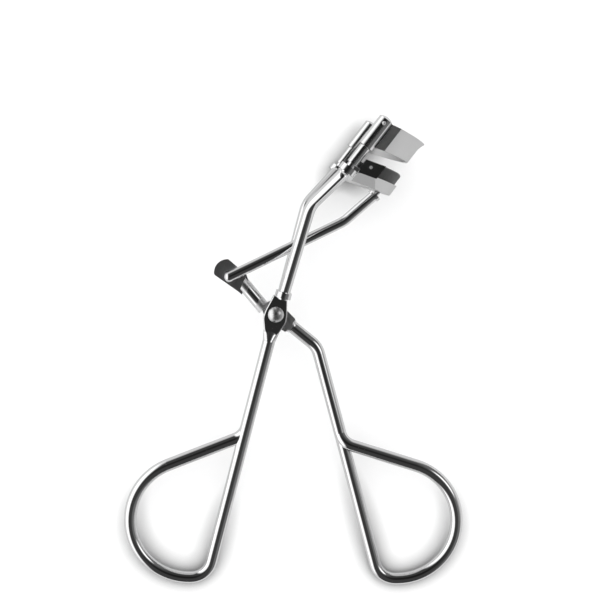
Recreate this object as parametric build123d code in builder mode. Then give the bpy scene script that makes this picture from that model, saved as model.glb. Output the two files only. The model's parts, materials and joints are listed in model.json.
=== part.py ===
from build123d import *
import math
import os

# Eyelash curler: two finger-loop handles of bent wire, crossed on one rivet. The handle on
# the left is the frame: its fork rods carry two guide rods and the fixed upper jaw. The
# handle on the right is the lever: its short arm pushes a link rod, which lifts the lower
# jaw and its soft pad along the guide rods.
#
# Everything is drawn flat first, with the rivet on +Z, the loops towards -Y and the head
# towards +Y. "Near" is the +Z side. The finished pieces are then tipped to the way the
# curler lies on a table, on its loops and the eyelet of its far fork rod.

# ---- driving dimensions, millimetres and degrees ----
wire_d = 2.8                  # handle wire
plate_t = 1.3                 # handle wire hammered flat at the rivet
plate_gap = 0.1               # between the two flattened plates
rivet_d = 2.2
running_gap = 0.05            # radial clearance of every turning or sliding fit

frame_angle = 14.6            # frame handle, from -Y towards -X
frame_plate_foot = 3.9        # distance from the rivet where its plate starts to narrow
frame_wire_start = 6.2        # and where it is round wire again
lever_angle = 14.9            # lever handle below its knee, from -Y towards +X
lever_root_angle = -39.0      # lever wire where it leaves the plate, from +X
lever_plate_foot = 3.9
lever_wire_start = 5.1
lever_knee = (9.3, -7.6)
lever_knee_r = 5.0
loop_r = 13.3                 # outer round of both finger loops
loop_corner_r = 4.8           # tight corner at the foot of each handle
frame_loop = (-19.45, -46.5)  # centre of the frame's loop
lever_loop = (27.6, -47.4)    # centre of the lever's loop
frame_bar_angle = 21.0        # slope of the straight bar that closes each loop
lever_bar_angle = 18.0
bar_clear = 8.0               # the loop's wire stops this far short of its own handle
weld_setback = 2.2            # the bar turns up into its handle and is welded there
weld_climb = 1.9
weld_d = wire_d - 0.04        # dressed a little thinner at the weld
neck_step = 0.02              # step where hammered metal runs into round wire

arm_angle = 129.5             # short arm of the lever, from +X
arm_root = (-2.53, 1.03)      # the arm's wire starts here, against the rivet's washer
arm_length = 9.0
arm_d = 3.0
arm_z = -1.6
flag_t = 1.2                  # flag plate hammered at the arm's end
flag_z = -1.35
flag_high = (-6.5, 8.7)       # the arm turns flat along the line between these two points
flag_low = (-8.2, 4.9)
flag_hole = (-10.3, 8.4)
flag_hole_d = 1.7
eyelet_flange_d = 2.6         # rolled eyelet that lines the flag's hole
eyelet_flange_t = 0.2

fork_rod_d = 2.6
fork_base = (1.5, 3.7, 1.35)  # fork rods leave the frame's plate side by side
fork_bend = (7.3, 24.3, 8.4)  # near rod's bend, mirrored in Z for the far one
fork_bend_r = 7.0
ferrule_t = 0.45              # clip round the foot of both fork rods
ferrule_h = 1.3
guide_foot = (14.7, 32.1)     # centre of the fork rods' eyelets
guide_tilt = 37.8             # guide rods, from +Y towards +X
guide_z = 16.5                # half the distance between the guide rods
guide_rod_d = 1.7
guide_tail_d = 2.2            # peened end under the eyelet
guide_plug_foot = 11.3        # upper end of the guide rod fills the sleeve from here
eye_d = 3.8
eye_t = 1.4

sheet_t = 0.5                 # stamped sheet of both jaws
sleeve_t = 0.3
jaw_centre = -13.0            # centre of the jaws' curve, out from the guide rods
upper_r = 23.5                # outer face of the upper jaw
pad_r_out = 24.2
pad_r_in = 21.2
wall_t = 0.6                  # walls and floor of the pad's channel
jaw_slope = 18.0              # the jaws rise this much towards their middle
upper_low = 6.5               # heights along the guide rods, taken at the rods' axis
upper_high = 12.65
upper_top_slope = 13.3
lip_start = 12.8              # the upper jaw's rim flares outwards above this height
lip_flare = 0.9
pad_high = 3.45
channel_high = 0.55
channel_low = -2.0
channel_end = 2.2             # the channel stops this far out from the guide rods' axis
end_lean = 43.0               # its ends lean in towards its floor, like a boat's
end_step = 0.35               # straight rim above the leaning ends
upper_sleeve = (6.05, 13.1)   # foot and top of the upper jaw's sleeves
upper_sleeve_d = 3.2
lower_sleeve = (1.55, 5.9)
lower_sleeve_d = 2.4
crimp_d = 0.6
crimp_height = 12.1
pad_pin_d = 0.5
pad_pin_place = (3.6, 3.3)    # out and up from the eyelet's centre

link_d = 2.3
link_pin_d = 1.2
link_z = 0.75                 # link rod at the flag
link_bend = (15.2, 20.6)
link_bend_r = 7.0
link_out = 9.4                # where the link enters the channel's floor
link_collar_d = 3.0
link_collar_t = 0.8
link_hole_d = 1.8

# ---- directions, planes and helpers ----
out_dir = Vector(math.cos(math.radians(guide_tilt)), -math.sin(math.radians(guide_tilt)), 0)
up_dir = Vector(math.sin(math.radians(guide_tilt)), math.cos(math.radians(guide_tilt)), 0)
head = Plane(origin=(*guide_foot, 0), x_dir=out_dir, z_dir=(0, 0, 1))
sides = {"near": 1, "far": -1}
slope = math.tan(math.radians(jaw_slope))
top_slope = math.tan(math.radians(upper_top_slope))
jaw_half_width = guide_z - sheet_t / 2


def direction(angle):
    """Unit vector at an angle from +X."""
    return Vector(math.cos(math.radians(angle)), math.sin(math.radians(angle)), 0)


def at_height(vector, z):
    """The same point at another Z."""
    return Vector(vector.X, vector.Y, z)


def across(height):
    """Plane square to the guide rods at this height: x is outwards, z is up the rods."""
    return Plane(origin=head.from_local_coords((0, height, 0)), x_dir=out_dir, z_dir=up_dir)


def side_plane(side, z=guide_z):
    """Plane of one guide rod seen from the side: x is outwards, y is up the rod."""
    return Plane(origin=head.from_local_coords((0, 0, side * z)), x_dir=out_dir, z_dir=(0, 0, 1))


def guide_axis(side):
    """Axis line of the near or the far guide rod."""
    return Axis(head.from_local_coords((0, 0, side * guide_z)), up_dir)


def loop_corners(root, leg_dir, centre, bar_angle, hand):
    """Corners of a handle's centre line, root to loop to bar, and the path of the bar's welded end."""
    reach = loop_r + 0.1
    bar_dir = Vector(-hand * math.cos(math.radians(bar_angle)), math.sin(math.radians(bar_angle)), 0)
    foot = root + leg_dir * ((centre[1] - reach - root.Y) / leg_dir.Y)
    side_x = centre[0] + hand * reach
    touch = Vector(*centre, 0) + Vector(hand * bar_dir.Y, -hand * bar_dir.X, 0) * reach
    shoulder = touch + bar_dir * ((side_x - touch.X) / bar_dir.X)
    flat_root = at_height(root, 0)
    along = (touch - flat_root).cross(bar_dir).Z / leg_dir.cross(bar_dir).Z
    weld = flat_root + leg_dir * along
    climb = (root.Y - weld.Y) / (root.Y - foot.Y)
    corners = [
        root,
        at_height(foot, 0),
        Vector(side_x, foot.Y, 0),
        shoulder,
        weld - bar_dir * bar_clear,
    ]
    weld_end = at_height(weld - leg_dir * weld_climb, root.Z * (1 - climb))
    with BuildLine() as weld_path:
        Line(corners[-1], weld - bar_dir * weld_setback)
        TangentArc(weld - bar_dir * weld_setback, weld_end, tangent=bar_dir)
    return corners, weld_path.wires()[0]


def wire_along(path, diameter):
    """Round wire along a centre line."""
    with BuildPart() as wire:
        with BuildSketch(Plane(origin=path @ 0, z_dir=path % 0)):
            Circle(diameter / 2)
        sweep(path=path)
    return wire.part


def neck(wire_dir, flat_point, flat_half, flat_z, round_point, round_r, round_z):
    """Wire hammered from round to flat where it runs into a plate."""
    width_dir = Vector(-wire_dir.Y, wire_dir.X, 0)
    middle = (flat_point + round_point) * 0.5
    middle_z = (flat_z + round_z) / 2
    with BuildPart() as taper:
        with BuildSketch(Plane(at_height(flat_point, flat_z), x_dir=width_dir, z_dir=wire_dir)):
            Ellipse(flat_half, plate_t / 2 - 0.02)
        with BuildSketch(Plane(at_height(middle, middle_z), x_dir=width_dir, z_dir=wire_dir)):
            Ellipse((flat_half + round_r) / 2, (plate_t / 2 + round_r) / 2)
        with BuildSketch(Plane(at_height(round_point, round_z), x_dir=width_dir, z_dir=wire_dir)):
            Circle(round_r - neck_step)
        loft()
    return taper.part


def dome(radius, foot, height):
    """Arc of a round head from its rim up to the axis, inside a BuildLine."""
    ball = (radius**2 + height**2) / (2 * height)
    half = math.asin(radius / ball) / 2
    return ThreePointArc(
        (radius, foot),
        (ball * math.sin(half), foot + height - ball * (1 - math.cos(half))),
        (0, foot + height),
    )


def head_band(low, low_slope, high, high_slope):
    """Everything out from the guide rods between two sloping planes, as a cutting body."""
    reach = 30
    with BuildPart() as band:
        with BuildSketch(head):
            Polygon(
                (0, low),
                (reach, low + reach * low_slope),
                (reach, high + reach * high_slope),
                (0, high),
                align=None,
            )
        extrude(amount=guide_z + 5, both=True)
    return band.part


def jaw_ring(inner, outer, start, half_width):
    """Tall curved wall about the jaws' centre line, cut off towards the guide rods."""
    with BuildPart() as ring:
        with BuildSketch(across(-6)):
            with Locations((jaw_centre, 0)):
                Circle(outer)
                Circle(inner, mode=Mode.SUBTRACT)
            with Locations((start + 15, 0)):
                Rectangle(30, 2 * half_width, mode=Mode.INTERSECT)
        extrude(amount=24)
    return ring.part


def leaning_ends(rim):
    """What is cut off a channel below its rim, so that both of its ends lean in."""
    depth = 6
    foot = jaw_half_width - depth * math.tan(math.radians(end_lean))
    along = (head.from_local_coords(Vector(1, slope, 0)) - head.origin).normalized()
    rim_point = head.from_local_coords(Vector(0, rim, 0)) - along * 10
    section = Plane(rim_point, x_dir=(0, 0, 1), z_dir=along)
    with BuildPart() as wedges:
        for side in sides.values():
            with BuildSketch(section):
                Polygon(
                    (side * jaw_half_width, 0),
                    (side * foot, depth),
                    (side * (guide_z + 5), depth),
                    (side * (guide_z + 5), 0),
                    align=None,
                )
            extrude(amount=40)
    return wedges.part


def guide_tube(side, foot, top, outer_d, bore_d):
    """Sleeve round one guide rod."""
    with BuildPart() as tube:
        with BuildSketch(across(foot)):
            with Locations((0, -side * guide_z)):
                Circle(outer_d / 2)
                Circle(bore_d / 2, mode=Mode.SUBTRACT)
        extrude(amount=top - foot)
    return tube.part


pieces = {}

# ---- frame handle: loop, leg, flattened plate and the ferrule round the fork rods ----
frame_dir = direction(-90 - frame_angle)
frame_side = Vector(-frame_dir.Y, frame_dir.X, 0)
frame_plate = Plane(origin=(0, 0, plate_gap / 2), x_dir=frame_side, z_dir=(0, 0, 1))
frame_plate_z = plate_gap / 2 + plate_t / 2
frame_root = at_height(frame_dir * frame_wire_start, frame_plate_z)
frame_corners, frame_weld_path = loop_corners(
    frame_root, frame_dir, frame_loop, frame_bar_angle, -1
)
frame_path = FilletPolyline(*frame_corners, radius=[loop_corner_r, loop_r, loop_r])
frame_wire = wire_along(frame_path, wire_d)
frame_weld_wire = wire_along(frame_weld_path, weld_d)
frame_neck = neck(
    frame_dir,
    frame_dir * frame_plate_foot, 1.8, frame_plate_z,
    frame_dir * frame_wire_start, wire_d / 2, frame_plate_z,
)

# ---- fork rods, each flattened into an eyelet that carries a guide rod ----
fork_rods = {}
for side_name, side in sides.items():
    base = Vector(fork_base[0], fork_base[1], side * fork_base[2])
    bend = Vector(fork_bend[0], fork_bend[1], side * fork_bend[2])
    tip = head.from_local_coords(Vector(0, -1.0, side * (guide_z - 1.9)))
    fork_path = FilletPolyline(base, bend, tip, radius=fork_bend_r)
    with BuildPart() as fork_rod:
        with BuildSketch(Plane(origin=fork_path @ 0, z_dir=fork_path % 0)):
            Circle(fork_rod_d / 2)
        sweep(path=fork_path)
        with Locations(tip):
            Sphere(fork_rod_d / 2)
        with BuildSketch(across(-eye_t / 2)):
            with Locations((0, -side * guide_z)):
                Circle(eye_d / 2)
        extrude(amount=eye_t)
        with BuildSketch(across(-eye_t)):
            with Locations((0, -side * guide_z)):
                Circle(guide_rod_d / 2)
        extrude(amount=4, mode=Mode.SUBTRACT)
        with BuildSketch(across(-eye_t / 2)):
            with Locations((0, -side * guide_z)):
                Circle(guide_tail_d / 2)
        extrude(amount=-3, mode=Mode.SUBTRACT)
    fork_rods[side_name] = fork_rod
    pieces["fork_rod_" + side_name] = fork_rod

fork_start = (Vector(*fork_bend) - Vector(*fork_base)).normalized()
fork_line = at_height(fork_start, 0).normalized()
ferrule_foot = Plane(
    origin=(fork_base[0], fork_base[1], 0),
    x_dir=Vector(fork_line.Y, -fork_line.X, 0),
    z_dir=fork_line,
)

with BuildPart() as frame_handle:
    with BuildSketch(frame_plate):
        Circle(2.5)
        with Locations((0, -1.0)):
            Circle(2.6)
        with Locations((-1.2, 3.7), (1.2, 3.7)):
            Circle(0.45)
        with Locations((0, -3.1)):
            Circle(1.9)
        make_hull()
    extrude(amount=plate_t)
    fillet(frame_handle.faces().sort_by(Axis.Z)[-1].edges(), 0.3)
    add(frame_neck)
    add(frame_wire)
    add(frame_weld_wire)
    with BuildSketch(ferrule_foot):
        SlotCenterToCenter(2 * fork_base[2] + 0.6, fork_rod_d + 2 * ferrule_t, rotation=90)
    extrude(amount=ferrule_h)
    with BuildSketch(frame_plate):
        Circle(rivet_d / 2)
    extrude(amount=plate_t + 1, mode=Mode.SUBTRACT)
    for fork_rod in fork_rods.values():
        add(fork_rod.part, mode=Mode.SUBTRACT)
pieces["frame_handle"] = frame_handle

# ---- lever: loop, leg and knee, flattened plate, short arm and flag ----
lever_root_dir = direction(lever_root_angle)
lever_dir = direction(-90 + lever_angle)
lever_plate_z = -plate_gap / 2 - plate_t / 2
lever_wire_z = -plate_gap / 2 - wire_d / 2
lever_plate = Plane(origin=(0, 0, -plate_gap / 2), x_dir=lever_root_dir, z_dir=(0, 0, 1))
lever_root = at_height(lever_root_dir * lever_wire_start, lever_wire_z)
lever_corners, lever_weld_path = loop_corners(
    Vector(*lever_knee, lever_wire_z), lever_dir, lever_loop, lever_bar_angle, 1
)
lever_path = FilletPolyline(
    lever_root, *lever_corners, radius=[lever_knee_r, loop_corner_r, loop_r, loop_r]
)
lever_wire = wire_along(lever_path, wire_d)
lever_weld_wire = wire_along(lever_weld_path, weld_d)
lever_neck = neck(
    lever_root_dir,
    lever_root_dir * lever_plate_foot, 1.8, lever_plate_z,
    lever_root_dir * lever_wire_start, wire_d / 2, lever_wire_z,
)
arm_dir = direction(arm_angle)
arm_plane = Plane(Vector(*arm_root, arm_z), z_dir=arm_dir)
flag_plane = Plane.XY.offset(flag_z - flag_t / 2)

with BuildPart() as lever_handle:
    add(lever_wire)
    add(lever_weld_wire)
    add(lever_neck)
    with BuildSketch(lever_plate):
        Circle(2.3)
        with Locations((4.0, 1.6), (4.0, -1.6)):
            Circle(0.25)
        with Locations((-1.4, 0.1)):
            Circle(1.9)
        make_hull()
    extrude(amount=-plate_t)
    with BuildSketch(arm_plane):
        Circle(arm_d / 2)
    extrude(amount=arm_length)
    with BuildSketch(Plane.XY.offset(arm_z - arm_d)):
        Polygon(flag_low, flag_high, (-12, 16), (-22, 6), align=None)
    extrude(amount=2 * arm_d, mode=Mode.SUBTRACT)
    with BuildSketch(flag_plane):
        with BuildLine():
            Polyline((-10.5, 12.2), flag_high, (-6.1, 7.6), (-7.6, 4.3), flag_low, (-13.7, 8.8))
            ThreePointArc((-13.7, 8.8), (-12.9, 11.3), (-10.5, 12.2))
        make_face()
        fillet(vertices().group_by(Axis.X)[0], 0.6)
    extrude(amount=flag_t)
    with BuildSketch(flag_plane):
        with Locations(flag_hole):
            Circle(flag_hole_d / 2)
    extrude(amount=flag_t, mode=Mode.SUBTRACT)
    with BuildSketch(lever_plate):
        Circle(rivet_d / 2 + running_gap)
    extrude(amount=-plate_t - 1, mode=Mode.SUBTRACT)
pieces["lever_handle"] = lever_handle

# ---- pivot rivet with a domed head, and the washer under its peened tail ----
head_foot = plate_gap / 2 + plate_t
washer_top = -plate_gap / 2 - plate_t - running_gap
washer_t = 0.35
washer_d = 3.8
with BuildPart() as pivot_rivet:
    with BuildSketch(Plane.XZ):
        with BuildLine():
            Line((0, head_foot + 1.05), (0, washer_top - washer_t - 0.6))
            Polyline(
                (0, washer_top - washer_t - 0.6),
                (0.9, washer_top - washer_t - 0.5),
                (1.5, washer_top - washer_t),
                (rivet_d / 2, washer_top - washer_t),
                (rivet_d / 2, head_foot),
                (1.75, head_foot),
                (1.75, head_foot + 0.15),
            )
            dome(1.75, head_foot + 0.15, 0.9)
        make_face()
    revolve(axis=Axis.Z)
pieces["pivot_rivet"] = pivot_rivet

with BuildPart() as pivot_washer:
    with BuildSketch(Plane.XY.offset(washer_top)):
        Circle(washer_d / 2)
        Circle(rivet_d / 2, mode=Mode.SUBTRACT)
    extrude(amount=-washer_t)
pieces["pivot_washer"] = pivot_washer

# ---- guide rods: peened under the eyelet, plugged and domed at the top of the sleeve ----
shank_r = guide_rod_d / 2
plug_r = upper_sleeve_d / 2 - sleeve_t
tail_r = guide_tail_d / 2
tail_z = -eye_t / 2
sleeve_top = upper_sleeve[1]
for side_name, side in sides.items():
    pin_plane = side_plane(side, guide_z + upper_sleeve_d / 2)
    with BuildPart() as guide_rod:
        with BuildSketch(side_plane(side)):
            with BuildLine():
                Polyline(
                    (0, sleeve_top + 0.55),
                    (0, tail_z - 0.65),
                    (tail_r - 0.45, tail_z - 0.6),
                    (tail_r, tail_z - 0.3),
                    (tail_r, tail_z),
                    (shank_r, tail_z),
                    (shank_r, guide_plug_foot),
                    (plug_r, guide_plug_foot),
                    (plug_r, sleeve_top),
                    (upper_sleeve_d / 2, sleeve_top),
                )
                dome(upper_sleeve_d / 2, sleeve_top, 0.55)
            make_face()
        revolve(axis=guide_axis(side))
        with BuildSketch(pin_plane):
            with Locations((0, crimp_height)):
                Circle(crimp_d / 2)
        extrude(amount=-side * 1.0, mode=Mode.SUBTRACT)
    pieces["guide_rod_" + side_name] = guide_rod

    with BuildPart() as crimp_pin:
        with BuildSketch(pin_plane):
            with Locations((0, crimp_height)):
                Circle(crimp_d / 2)
        extrude(amount=-side * 1.0)
        with Locations(pin_plane.from_local_coords(Vector(0, crimp_height, side * 0.05))):
            Sphere(crimp_d / 2 + 0.12)
        with BuildSketch(pin_plane):
            with Locations((0, crimp_height)):
                Rectangle(2, 2)
                Circle(crimp_d / 2, mode=Mode.SUBTRACT)
        extrude(amount=-side * 1.0, mode=Mode.SUBTRACT)
    pieces["crimp_pin_" + side_name] = crimp_pin

# ---- upper jaw: curved wall with a flared rim, side tabs and rolled sleeves ----
with BuildPart() as upper_wall:
    with BuildSketch(head):
        with BuildLine():
            Line((jaw_centre + upper_r - sheet_t, 5), (jaw_centre + upper_r, 5))
            Line((jaw_centre + upper_r, 5), (jaw_centre + upper_r, lip_start))
            ThreePointArc(
                (jaw_centre + upper_r, lip_start),
                (jaw_centre + upper_r + 0.2 * lip_flare, lip_start + 1.5),
                (jaw_centre + upper_r + lip_flare, lip_start + 3.0),
            )
            Line(
                (jaw_centre + upper_r + lip_flare, lip_start + 3.0),
                (jaw_centre + upper_r + lip_flare - 0.8 * sheet_t, lip_start + 3.3),
            )
            ThreePointArc(
                (jaw_centre + upper_r + lip_flare - 0.8 * sheet_t, lip_start + 3.3),
                (jaw_centre + upper_r + 0.2 * lip_flare - 0.95 * sheet_t, lip_start + 1.6),
                (jaw_centre + upper_r - sheet_t, lip_start),
            )
            Line((jaw_centre + upper_r - sheet_t, lip_start), (jaw_centre + upper_r - sheet_t, 5))
        make_face()
    revolve(axis=Axis(head.from_local_coords(Vector(jaw_centre, 0, 0)), up_dir))
    with BuildSketch(across(0)):
        with Locations((17, 0)):
            Rectangle(30, 2 * guide_z)
    extrude(amount=24, mode=Mode.INTERSECT)

crease_out = jaw_centre + math.sqrt(upper_r**2 - guide_z**2)
with BuildPart() as upper_jaw:
    add(upper_wall.part)
    for side in sides.values():
        with BuildSketch(side_plane(side)):
            with Locations((1.5, 0)):
                Rectangle(crease_out - 1.5, 20, align=(Align.MIN, Align.MIN))
        extrude(amount=sheet_t / 2, both=True)
    add(head_band(upper_low, slope, upper_high, top_slope), mode=Mode.INTERSECT)
    for side in sides.values():
        add(guide_tube(side, *upper_sleeve, upper_sleeve_d, 2 * plug_r))
        with BuildSketch(side_plane(side)):
            with Locations((0, crimp_height)):
                Circle(crimp_d / 2)
        extrude(amount=side * 3, mode=Mode.SUBTRACT)
pieces["upper_jaw"] = upper_jaw

# ---- lower jaw: channel for the pad, side tabs and sleeves that slide on the rods ----
channel_out = jaw_ring(pad_r_in - wall_t, pad_r_out + wall_t, channel_end, jaw_half_width)
channel_in = jaw_ring(pad_r_in, pad_r_out, channel_end, jaw_half_width)
floor_high = channel_low + wall_t / math.cos(math.radians(jaw_slope))
outside_band = head_band(channel_low, slope, channel_high, slope)
pocket_band = head_band(floor_high, slope, pad_high + 5, slope)
pad_band = head_band(floor_high, slope, pad_high, slope)
end_rim = channel_high - end_step
pocket_rim = end_rim + wall_t / math.sin(math.radians(end_lean)) / math.cos(math.radians(jaw_slope))
with BuildPart() as pocket:
    add(channel_in)
    add(pocket_band, mode=Mode.INTERSECT)
    add(leaning_ends(pocket_rim), mode=Mode.SUBTRACT)

link_entry = head.from_local_coords(Vector(link_out, channel_low + link_out * slope, 0))
link_corner = Vector(*link_bend, 0)
link_top_dir = (link_entry - link_corner).normalized()
link_top = Plane(origin=link_entry, z_dir=link_top_dir)

tab_outline = [
    (1.05, 1.65),
    (2.1, 1.65),
    (2.1, 0.75),
    (2.6, end_rim + 2.6 * slope),
    (6.0, end_rim + 6.0 * slope),
    (6.0, pad_high + 6.0 * slope),
    (1.75, pad_high + 1.75 * slope),
    (1.75, 3.0),
    (1.05, 3.0),
]
with BuildPart() as lower_jaw:
    add(channel_out)
    add(outside_band, mode=Mode.INTERSECT)
    add(leaning_ends(end_rim), mode=Mode.SUBTRACT)
    add(pocket.part, mode=Mode.SUBTRACT)
    for side in sides.values():
        with BuildSketch(side_plane(side, jaw_half_width)):
            Polygon(*tab_outline, align=None)
        extrude(amount=side * sheet_t)
        add(guide_tube(side, *lower_sleeve, lower_sleeve_d, guide_rod_d + 2 * running_gap))
        with BuildSketch(side_plane(side, jaw_half_width)):
            with Locations(pad_pin_place):
                Circle(pad_pin_d / 2)
        extrude(amount=side * sheet_t, mode=Mode.SUBTRACT)
    with BuildSketch(link_top):
        Circle(link_hole_d / 2)
    extrude(amount=1.6, both=True, mode=Mode.SUBTRACT)
pieces["lower_jaw"] = lower_jaw

with BuildPart() as lash_pad:
    add(pocket.part)
    add(pad_band, mode=Mode.INTERSECT)
    with BuildSketch(link_top):
        Circle(1.4)
    extrude(amount=2.6, mode=Mode.SUBTRACT)
    for side in sides.values():
        with BuildSketch(side_plane(side, jaw_half_width)):
            with Locations(pad_pin_place):
                Circle(pad_pin_d / 2)
        extrude(amount=-side * 1.2, mode=Mode.SUBTRACT)
pieces["lash_pad"] = lash_pad

for side_name, side in sides.items():
    with BuildPart() as pad_pin:
        with BuildSketch(side_plane(side, jaw_half_width + sheet_t)):
            with Locations(pad_pin_place):
                Circle(pad_pin_d / 2 + 0.1)
        extrude(amount=side * 0.15)
        with BuildSketch(side_plane(side, jaw_half_width + sheet_t)):
            with Locations(pad_pin_place):
                Circle(pad_pin_d / 2)
        extrude(amount=-side * (1.2 + sheet_t))
    pieces["pad_pin_" + side_name] = pad_pin

# ---- link rod from the flag to the lower jaw, with its eyelet and its collar ----
link_foot = Vector(*flag_hole, link_z)
flag_top = flag_z + flag_t / 2
flag_under = flag_z - flag_t / 2
link_stop = link_entry - link_top_dir * 1.6
link_path = FilletPolyline(link_foot, link_corner, link_stop, radius=link_bend_r)
eyelet_bore = link_pin_d / 2 + running_gap

with BuildPart() as link_rod:
    with BuildSketch(Plane(origin=link_path @ 0, z_dir=link_path % 0)):
        Circle(link_d / 2)
    sweep(path=link_path)
    with Locations(link_foot):
        Sphere(link_d / 2)
    with BuildSketch(Plane.XY.offset(link_z)):
        with Locations(flag_hole):
            Circle(link_pin_d / 2)
    extrude(amount=-(link_z - flag_under + eyelet_flange_t + 0.15))
    with BuildSketch(Plane.XY.offset(flag_under - eyelet_flange_t - 0.1)):
        with Locations(flag_hole):
            Circle(0.95)
    extrude(amount=-0.4)
    with BuildSketch(link_top.offset(-1.6)):
        Circle(link_pin_d / 2)
    extrude(amount=1.6 + 1.45)
    with BuildSketch(link_top.offset(1.4)):
        Circle(1.0)
    extrude(amount=0.45)
pieces["link_rod"] = link_rod

with BuildPart() as link_collar:
    with BuildSketch(link_top.offset(-1.6)):
        Circle(link_collar_d / 2)
        Circle(link_pin_d / 2, mode=Mode.SUBTRACT)
    extrude(amount=link_collar_t)
pieces["link_collar"] = link_collar

with BuildPart() as flag_eyelet:
    with BuildSketch(Plane.XZ.offset(-flag_hole[1])):
        with Locations((flag_hole[0], 0)):
            Polygon(
                (eyelet_bore, flag_top + eyelet_flange_t),
                (eyelet_flange_d / 2, flag_top + eyelet_flange_t),
                (eyelet_flange_d / 2, flag_top),
                (flag_hole_d / 2, flag_top),
                (flag_hole_d / 2, flag_under),
                (eyelet_flange_d / 2, flag_under),
                (eyelet_flange_d / 2, flag_under - eyelet_flange_t),
                (eyelet_bore, flag_under - eyelet_flange_t),
                align=None,
            )
    revolve(axis=Axis((*flag_hole, 0), (0, 0, 1)))
pieces["flag_eyelet"] = flag_eyelet

# ---- tip the curler to the way it lies: on its loops and the far eyelet ----
loop_y = min(frame_corners[1].Y, lever_corners[1].Y)
eye_rim = head.from_local_coords(Vector(0, -eye_t / 2, -guide_z - eye_d / 2))
rest_length = math.hypot(eye_rim.Y - loop_y, eye_rim.Z)
rest_angle = math.degrees(
    math.atan2(-eye_rim.Z, eye_rim.Y - loop_y) - math.asin(wire_d / 2 / rest_length)
)
tipped = Location((0, 0, 0), (rest_angle, 0, 0))
boxes = [tipped * builder.part for builder in pieces.values()]
boxes = [shape.bounding_box() for shape in boxes]
middle_x = (min(box.min.X for box in boxes) + max(box.max.X for box in boxes)) / 2
middle_y = (min(box.min.Y for box in boxes) + max(box.max.Y for box in boxes)) / 2
lowest = min(box.min.Z for box in boxes)
lying = Location((-middle_x, -middle_y, -lowest)) * tipped

os.makedirs("parts", exist_ok=True)
for name, builder in pieces.items():
    builder.part.location = lying
    builder.part.label = name
    export_step(builder.part, f"parts/{name}.step")
    print(name, len(builder.part.solids()), round(builder.part.volume, 2))
print("rest angle", round(rest_angle, 2), "offset", lying.position)
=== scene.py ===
import json
import math

import bmesh
import bpy
from mathutils import Matrix, Vector


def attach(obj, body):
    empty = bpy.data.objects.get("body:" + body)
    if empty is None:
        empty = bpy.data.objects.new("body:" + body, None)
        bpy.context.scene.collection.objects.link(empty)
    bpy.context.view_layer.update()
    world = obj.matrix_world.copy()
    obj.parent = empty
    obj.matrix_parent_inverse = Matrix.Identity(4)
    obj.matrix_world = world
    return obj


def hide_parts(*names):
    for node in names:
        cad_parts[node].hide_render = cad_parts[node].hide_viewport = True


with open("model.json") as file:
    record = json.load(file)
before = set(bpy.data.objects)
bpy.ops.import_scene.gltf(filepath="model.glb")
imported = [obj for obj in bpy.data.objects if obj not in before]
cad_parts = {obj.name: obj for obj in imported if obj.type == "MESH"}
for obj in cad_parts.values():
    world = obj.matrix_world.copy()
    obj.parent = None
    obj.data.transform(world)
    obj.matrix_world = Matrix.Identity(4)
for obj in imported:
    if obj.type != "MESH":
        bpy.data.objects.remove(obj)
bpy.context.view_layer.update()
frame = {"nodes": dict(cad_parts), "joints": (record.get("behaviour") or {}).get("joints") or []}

MM = 0.001

# ---- the curler's own directions, read from its joints ----
joints = {joint["name"]: joint for joint in frame["joints"]}
RIVET = Vector(joints["lever_pivot"]["pos_m"])
NEAR = -Vector(joints["lever_pivot"]["axis"]).normalized()
SIDEWAYS = Vector((1, 0, 0))
AHEAD = NEAR.cross(SIDEWAYS)
UP_THE_RODS = Vector(joints["jaw_slide"]["axis"]).normalized()
OUTWARDS = UP_THE_RODS.cross(NEAR)

# ---- camera: over the rivet, looking down it a few degrees off its axis ----
CAMERA_DISTANCE = 303 * MM
CAMERA_LEAN = (-0.041, 0.095)        # off the rivet's axis, sideways and ahead
AIM = (5.40 * MM, 3.13 * MM)         # what the camera centres on, from the rivet
FOCAL_LENGTH = 81.5

# ---- the head, in millimetres from the foot of the guide rods ----
GUIDE_FOOT = (14.7 * MM, 32.1 * MM)  # from the rivet, sideways and ahead
HEAD = RIVET + SIDEWAYS * GUIDE_FOOT[0] + AHEAD * GUIDE_FOOT[1]
JAW_CENTRE = -13.0                   # centre of the jaws' curve, out from the guide rods
JAW_SLOPE_ANGLE = math.radians(18.0)
JAW_SLOPE = math.tan(JAW_SLOPE_ANGLE)
PAD_OUTER = 24.2
PAD_INNER = 21.2
PAD_HALF_WIDTH = 16.25
PAD_START = 2.2                      # the pad stops this far out from the guide rods
PAD_FLOOR = -1.36
PAD_TOP = 3.45
PAD_LEAN_FROM = 1.12                 # below this its ends lean in with the channel's
PAD_LEAN = math.tan(math.radians(43.0)) * math.cos(JAW_SLOPE_ANGLE)
PAD_ROUND = 0.85                     # radius of its upper edges
PAD_EASE = 0.02                      # clearance to the channel's walls
PAD_STEPS = 64                       # along each arc
ROUND_STEPS = 6
SHARP_EDGE = math.radians(35)

# ---- where the sheet of the jaws changes, outwards from the rods' axis and to the near side ----
SLEEVE_EDGE = (1.6 * MM, 2.0 * MM)
# from TAB_FACE out, the near tab takes a painted-light tone of its own
TAB_FACE = (16.45 * MM, 16.6 * MM)
SLEEVE_TOP = (16.6 * MM, 17.0 * MM)
SEAM_AT = -0.35 * MM
SEAM_WIDTH = 0.16 * MM

# ---- the lever's flattened places, and how far from their middle they reach ----
FLAG = Vector(joints["link_pivot"]["pos_m"])
PLATE_REACH = 4.5 * MM
FLAG_REACH = 4.8 * MM
FLAT_FADE = 0.8 * MM

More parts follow.
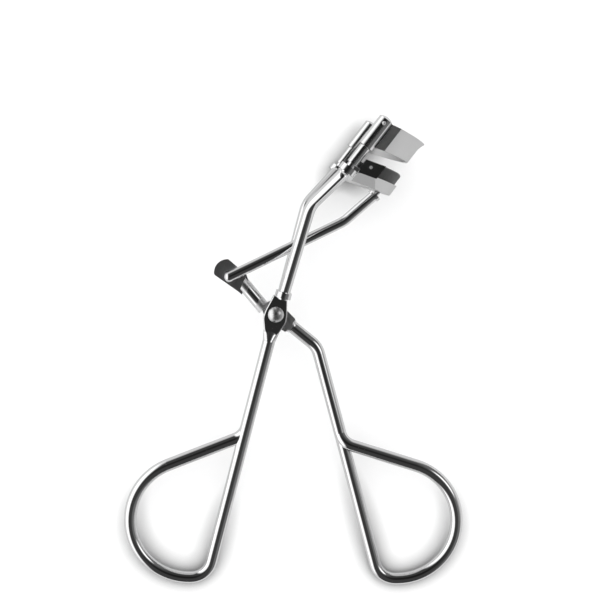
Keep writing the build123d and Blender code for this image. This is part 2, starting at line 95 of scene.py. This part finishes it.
# ---- finish: features per metre, ripple height in metres, tones and roughness ----
PATCHES = 260
RIPPLES = 420
RIPPLE_HEIGHT = 4e-7
PLATED = 0.90                        # tone of bright plate
POLISHED = (0.03, 0.07)              # roughness, from its smoothest patch to its dullest
SLEEVE_TONE = 0.88
SLEEVE_ROUGHNESS = (0.13, 0.20)
WALL_TONE = 0.76
SATIN_ROUGHNESS = (0.34, 0.40)
SEAM_TONE = 0.10
PLATE_ROUGHNESS = 0.40
FLAG_ROUGHNESS = 0.30

# ---- light and table ----
DOME = 1.32                          # light on the table
SOFTBOX = (0.715, 0.152, 0.682)      # direction of the small softbox that the metal shows
TABLE_SIZE = 6
TABLE_GRAIN = 900
PAINTED_SHADE_REACH = 4.5 * MM                   # reach of the painted shade on the table where metal nears it
WHITE_FLOOR = 0.93
PAINTED_SHADE_DEPTH = 0.30                  # share of the table's white left in the darkest painted shade
PAINTED_DIM_REFLECTED_TABLE = 0.58                # share of the table's colour left where the metal reflects it, a painted shade on the reflection


def make_camera():
    """A camera that looks down the rivet, leaning a little."""
    back = (NEAR + SIDEWAYS * CAMERA_LEAN[0] + AHEAD * CAMERA_LEAN[1]).normalized()
    up = (AHEAD - back * AHEAD.dot(back)).normalized()
    right = up.cross(back)
    place = RIVET + right * AIM[0] + up * AIM[1] + back * CAMERA_DISTANCE
    data = bpy.data.cameras.new("camera")
    data.lens = FOCAL_LENGTH
    data.sensor_width = 36
    data.clip_start = 0.01
    data.clip_end = 20
    camera = bpy.data.objects.new("camera", data)
    turn = Matrix((right, up, back)).transposed().to_4x4()
    camera.matrix_world = Matrix.Translation(place) @ turn
    bpy.context.scene.collection.objects.link(camera)
    bpy.context.scene.camera = camera


# ---- shader helpers ----
def new_material(name):
    """An empty node material and its Principled shader."""
    material = bpy.data.materials.new(name)
    material.use_nodes = True
    return material, material.node_tree.nodes["Principled BSDF"]


def add_node(tree, kind, inputs=None, **settings):
    """One shader node with its settings and socket values."""
    node = tree.nodes.new(kind)
    for key, value in settings.items():
        setattr(node, key, value)
    for key, value in (inputs or {}).items():
        node.inputs[key].default_value = value
    return node


def noise(tree, scale, detail=3.0):
    """Noise in the object's own coordinates; scale is in features per metre."""
    place = add_node(tree, "ShaderNodeTexCoord")
    texture = add_node(tree, "ShaderNodeTexNoise", {"Scale": scale, "Detail": detail})
    tree.links.new(place.outputs["Object"], texture.inputs["Vector"])
    return texture.outputs["Fac"]


def spread(tree, value, low, high, start=0.3, end=0.7):
    """A value from 0 to 1 mapped to a range."""
    node = add_node(
        tree, "ShaderNodeMapRange",
        {"From Min": start, "From Max": end, "To Min": low, "To Max": high},
    )
    tree.links.new(value, node.inputs["Value"])
    return node.outputs["Result"]


def bump(tree, shader, height, distance):
    """Bump of a real height in metres."""
    node = add_node(tree, "ShaderNodeBump", {"Distance": distance, "Strength": 1.0})
    tree.links.new(height, node.inputs["Height"])
    tree.links.new(node.outputs["Normal"], shader.inputs["Normal"])


def times(tree, first, second):
    """Product of two values."""
    node = add_node(tree, "ShaderNodeMath", operation="MULTIPLY")
    tree.links.new(first, node.inputs[0])
    tree.links.new(second, node.inputs[1])
    return node.outputs[0]


def blend(tree, share, low, high):
    """From one value to another as the share goes from 0 to 1; either may be a number."""
    node = add_node(tree, "ShaderNodeMix")
    tree.links.new(share, node.inputs["Factor"])
    for socket, value in ((node.inputs["A"], low), (node.inputs["B"], high)):
        if isinstance(value, float):
            socket.default_value = value
        else:
            tree.links.new(value, socket)
    return node.outputs["Result"]


def grey(tree, tone, socket):
    """Use one tone for all three channels of a colour."""
    colour = add_node(tree, "ShaderNodeCombineColor")
    for channel in ("Red", "Green", "Blue"):
        tree.links.new(tone, colour.inputs[channel])
    tree.links.new(colour.outputs["Color"], socket)


def ramp_up(tree, value, start, end, low, high):
    """Smooth rise of a value from low to high."""
    node = add_node(
        tree, "ShaderNodeMapRange",
        {"From Min": start, "From Max": end, "To Min": low, "To Max": high},
        interpolation_type="SMOOTHSTEP",
    )
    tree.links.new(value, node.inputs["Value"])
    return node.outputs["Result"]


def dot(tree, vector, direction):
    """How far a direction points along another."""
    node = add_node(tree, "ShaderNodeVectorMath", operation="DOT_PRODUCT")
    tree.links.new(vector, node.inputs[0])
    node.inputs[1].default_value = Vector(direction).normalized()
    return node.outputs["Value"]


def add_up(tree, values):
    """Sum of several values."""
    total = values[0]
    for value in values[1:]:
        node = add_node(tree, "ShaderNodeMath", operation="ADD")
        tree.links.new(total, node.inputs[0])
        tree.links.new(value, node.inputs[1])
        total = node.outputs[0]
    return total


def from_place(tree, place):
    """Where a point of the surface is, from this place."""
    node = add_node(tree, "ShaderNodeVectorMath", operation="SUBTRACT")
    coordinates = add_node(tree, "ShaderNodeTexCoord")
    tree.links.new(coordinates.outputs["Object"], node.inputs[0])
    node.inputs[1].default_value = place
    return node.outputs["Vector"]


# ---- studio ----
def make_world():
    """An even dome for the table, and a dark studio with white walls for the metal."""
    world = bpy.data.worlds.new("studio")
    bpy.context.scene.world = world
    world.use_nodes = True
    world.cycles.sampling_method = "NONE"
    tree = world.node_tree
    tree.nodes.clear()
    place = add_node(tree, "ShaderNodeTexCoord").outputs["Generated"]
    # direction, cosine where its light starts and is full, brightness before and after
    lights = [
        ((0, 0, 1), 0.90, 0.995, 0.045, 0.012),
        ((-1, 0, 0), 0.42, 0.66, 0.0, 1.15),
        ((0, 1, 0), 0.72, 0.92, 0.0, 0.5),
        ((1, 0, 0), 0.30, 0.62, 0.0, 0.10),
        ((1, 0, 0), 0.82, 0.95, 0.0, 0.22),
        (SOFTBOX, 0.958, 0.990, 0.0, 1.1),
    ]
    parts = [ramp_up(tree, dot(tree, place, way), *rise) for way, *rise in lights]
    studio = add_node(tree, "ShaderNodeBackground", {"Color": (1, 1, 1, 1)})
    tree.links.new(add_up(tree, parts), studio.inputs["Strength"])
    dome = add_node(tree, "ShaderNodeBackground", {"Color": (1, 1, 1, 1), "Strength": DOME})
    path = add_node(tree, "ShaderNodeLightPath")
    mix = add_node(tree, "ShaderNodeMixShader")
    tree.links.new(path.outputs["Is Glossy Ray"], mix.inputs["Fac"])
    tree.links.new(dome.outputs[0], mix.inputs[1])
    tree.links.new(studio.outputs[0], mix.inputs[2])
    out = add_node(tree, "ShaderNodeOutputWorld")
    tree.links.new(mix.outputs[0], out.inputs["Surface"])


def make_floor():
    """The table, pale, with painted shade where metal nears it and painted shade on its
    reflection in the metal.
    """
    bpy.ops.mesh.primitive_plane_add(size=TABLE_SIZE)
    floor = bpy.context.object
    floor.name = "table"
    material, shader = new_material("table_top")
    tree = material.node_tree
    # painted shade: the table's colour darkens by ambient occlusion where metal comes near it
    painted_shade = add_node(tree, "ShaderNodeAmbientOcclusion", {"Distance": PAINTED_SHADE_REACH}, samples=16)
    dark = PAINTED_SHADE_DEPTH * WHITE_FLOOR
    tone = spread(tree, painted_shade.outputs["AO"], dark, WHITE_FLOOR, 0.35, 0.97)
    grain = spread(tree, noise(tree, TABLE_GRAIN), 0.995, 1.0)
    # painted shade on the reflection: the table's colour is dimmer where the metal reflects it
    path = add_node(tree, "ShaderNodeLightPath")
    painted_dim_reflection = blend(tree, path.outputs["Is Glossy Ray"], 1.0, PAINTED_DIM_REFLECTED_TABLE)
    grey(tree, times(tree, times(tree, tone, grain), painted_dim_reflection), shader.inputs["Base Color"])
    shader.inputs["Roughness"].default_value = 0.9
    shader.inputs["Specular IOR Level"].default_value = 0.0
    floor.data.materials.append(material)


bpy.context.scene.view_settings.view_transform = "Standard"
make_camera()
make_world()
make_floor()


# ---- metal pieces ----
def chrome(name, smooth, dull, ripple, tone=PLATED):
    """Bright plate: roughness from smooth to dull in soft patches, over a faint ripple."""
    material, shader = new_material(name)
    tree = material.node_tree
    shader.inputs["Metallic"].default_value = 1.0
    shader.inputs["Base Color"].default_value = (tone, tone, tone + 0.005, 1)
    patches = noise(tree, PATCHES, 4)
    tree.links.new(spread(tree, patches, smooth, dull), shader.inputs["Roughness"])
    bump(tree, shader, noise(tree, RIPPLES, 2), ripple)
    return material


def jaw_sheet(name, painted_tab_light):
    """Stamped sheet: satin walls and tabs, brighter rolled sleeves with a dark seam; the tabs'
    tone is painted light, set apart from the walls' tone.
    """
    material, shader = new_material(name)
    tree = material.node_tree
    shader.inputs["Metallic"].default_value = 1.0
    out = dot(tree, from_place(tree, HEAD), OUTWARDS)
    near = dot(tree, from_place(tree, HEAD), NEAR)
    wall = ramp_up(tree, out, *SLEEVE_EDGE, 0.0, 1.0)
    left_of_seam = ramp_up(tree, out, SEAM_AT - SEAM_WIDTH, SEAM_AT, 0.0, 1.0)
    right_of_seam = ramp_up(tree, out, SEAM_AT, SEAM_AT + SEAM_WIDTH, 1.0, 0.0)
    on_top = ramp_up(tree, near, *SLEEVE_TOP, 0.0, 1.0)
    seam = times(tree, times(tree, left_of_seam, right_of_seam), on_top)
    patches = noise(tree, PATCHES, 4)
    satin = spread(tree, patches, *SATIN_ROUGHNESS)
    bright = spread(tree, patches, *SLEEVE_ROUGHNESS)
    tree.links.new(blend(tree, wall, bright, satin), shader.inputs["Roughness"])
    # painted light: the near tab gets its own tone, brighter or darker than the wall, standing in
    # for what it reflects
    painted_tab_mask = ramp_up(tree, near, *TAB_FACE, 0.0, 1.0)
    sheet = blend(tree, wall, SLEEVE_TONE, blend(tree, painted_tab_mask, WALL_TONE, painted_tab_light))
    grey(tree, blend(tree, seam, sheet, SEAM_TONE), shader.inputs["Base Color"])
    bump(tree, shader, noise(tree, RIPPLES, 2), RIPPLE_HEIGHT)
    return material


def lever_chrome(name):
    """Wire chrome, with the plate at the rivet and the flag left a little duller."""
    material, shader = new_material(name)
    tree = material.node_tree
    shader.inputs["Metallic"].default_value = 1.0
    shader.inputs["Base Color"].default_value = (PLATED, PLATED, PLATED + 0.005, 1)
    dull = []
    for place, reach in ((RIVET, PLATE_REACH), (FLAG, FLAG_REACH)):
        length = add_node(tree, "ShaderNodeVectorMath", operation="LENGTH")
        tree.links.new(from_place(tree, place), length.inputs[0])
        dull.append(ramp_up(tree, length.outputs["Value"], reach, reach + FLAT_FADE, 1.0, 0.0))
    polished = spread(tree, noise(tree, PATCHES, 4), *POLISHED)
    with_flag = blend(tree, dull[1], polished, FLAG_ROUGHNESS)
    roughness = blend(tree, dull[0], with_flag, PLATE_ROUGHNESS)
    tree.links.new(roughness, shader.inputs["Roughness"])
    bump(tree, shader, noise(tree, RIPPLES, 2), RIPPLE_HEIGHT)
    return material


def paint(node, material):
    """Give a CAD node one material all over."""
    mesh = frame["nodes"][node].data
    mesh.materials.clear()
    mesh.materials.append(material)


wire_chrome = chrome("wire_chrome", *POLISHED, RIPPLE_HEIGHT)
plate_chrome = chrome("plate_chrome", 0.10, 0.16, 5e-7)
satin_steel = chrome("satin_steel", 0.30, 0.38, 3e-7, 0.85)
pin_steel = chrome("pin_steel", 0.62, 0.72, 3e-7, 0.95)
finishes = {
    # painted light on the tabs: a painted highlight on the upper jaw's tab, painted shade nearly
    # black on the lower jaw's
    "upper_jaw": jaw_sheet("upper_sheet", 0.95),
    "lower_jaw": jaw_sheet("lower_sheet", 0.20),
    "lever_handle": lever_chrome("lever_chrome"),
    "pad_pin_near": pin_steel,
    "pad_pin_far": pin_steel,
    "crimp_pin_near": pin_steel,
    "crimp_pin_far": pin_steel,
    "pivot_rivet": satin_steel,
    "pivot_washer": plate_chrome,
    "flag_eyelet": plate_chrome,
    "link_collar": plate_chrome,
}
for node in frame["nodes"]:
    paint(node, finishes.get(node, wire_chrome))


# ---- the pad, with the rounded edges of a moulding ----
def rubber(name):
    """Dark silicone with a satin skin."""
    material, shader = new_material(name)
    tree = material.node_tree
    grey(tree, spread(tree, noise(tree, 350, 3), 0.012, 0.020), shader.inputs["Base Color"])
    shader.inputs["Specular IOR Level"].default_value = 0.32
    tree.links.new(spread(tree, noise(tree, 900), 0.34, 0.44), shader.inputs["Roughness"])
    bump(tree, shader, noise(tree, 6000, 2), 3e-6)
    return material


def head_point(out, up, across):
    """A place given from the foot of the guide rods, in millimetres."""
    return HEAD + (OUTWARDS * out + UP_THE_RODS * up + NEAR * across) * MM


def pad_outline(inset, half_width):
    """Plan of the pad: outwards and across, round its edge once."""
    outer = PAD_OUTER - inset
    inner = PAD_INNER + inset
    start = PAD_START + inset
    turn = math.asin(half_width / outer)
    stop = min(math.acos((start - JAW_CENTRE) / inner), math.asin(half_width / inner))
    corner = max(start, JAW_CENTRE + inner * math.cos(stop) + 0.01)
    points = []
    for step in range(PAD_STEPS + 1):
        angle = turn * (1 - 2 * step / PAD_STEPS)
        points.append((JAW_CENTRE + outer * math.cos(angle), outer * math.sin(angle)))
    points.append((corner, -half_width))
    for step in range(PAD_STEPS + 1):
        angle = stop * (2 * step / PAD_STEPS - 1)
        points.append((JAW_CENTRE + inner * math.cos(angle), inner * math.sin(angle)))
    points.append((corner, half_width))
    return points


def close_ring(mesh, ring):
    """Close one ring of the pad: a strip between its two arcs and a corner at each end."""
    last = 2 * PAD_STEPS + 2
    for i in range(PAD_STEPS):
        mesh.faces.new((ring[i], ring[i + 1], ring[last - i - 1], ring[last - i]))
    mesh.faces.new((ring[PAD_STEPS], ring[PAD_STEPS + 1], ring[PAD_STEPS + 2]))
    mesh.faces.new((ring[last + 1], ring[0], ring[last]))


def make_pad():
    """The pad as rings round its edge, from the channel's floor to its rounded top."""
    levels = []
    for up in (PAD_FLOOR, PAD_LEAN_FROM):
        lean = (PAD_LEAN_FROM - up) * PAD_LEAN
        levels.append((up, pad_outline(PAD_EASE, PAD_HALF_WIDTH - PAD_EASE - lean)))
    for step in range(ROUND_STEPS + 1):
        angle = math.pi / 2 * step / ROUND_STEPS
        inset = PAD_EASE + PAD_ROUND * (1 - math.cos(angle))
        up = PAD_TOP - PAD_ROUND * (1 - math.sin(angle))
        levels.append((up, pad_outline(inset, PAD_HALF_WIDTH - inset)))
    mesh = bmesh.new()
    rings = []
    for up, outline in levels:
        rings.append([
            mesh.verts.new(head_point(out, up + out * JAW_SLOPE, across))
            for out, across in outline
        ])
    count = len(rings[0])
    for lower, upper in zip(rings, rings[1:]):
        for i in range(count):
            j = (i + 1) % count
            mesh.faces.new((lower[i], lower[j], upper[j], upper[i]))
    close_ring(mesh, rings[0])
    close_ring(mesh, rings[-1])
    bmesh.ops.recalc_face_normals(mesh, faces=mesh.faces)
    data = bpy.data.meshes.new("rounded_pad")
    mesh.to_mesh(data)
    mesh.free()
    data.shade_smooth()
    data.set_sharp_from_angle(angle=SHARP_EDGE)
    pad = bpy.data.objects.new("rounded_pad", data)
    bpy.context.scene.collection.objects.link(pad)
    data.materials.append(rubber("pad_rubber"))
    return pad


pad = make_pad()
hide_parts("lash_pad")
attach(pad, "lower_jaw_slide")
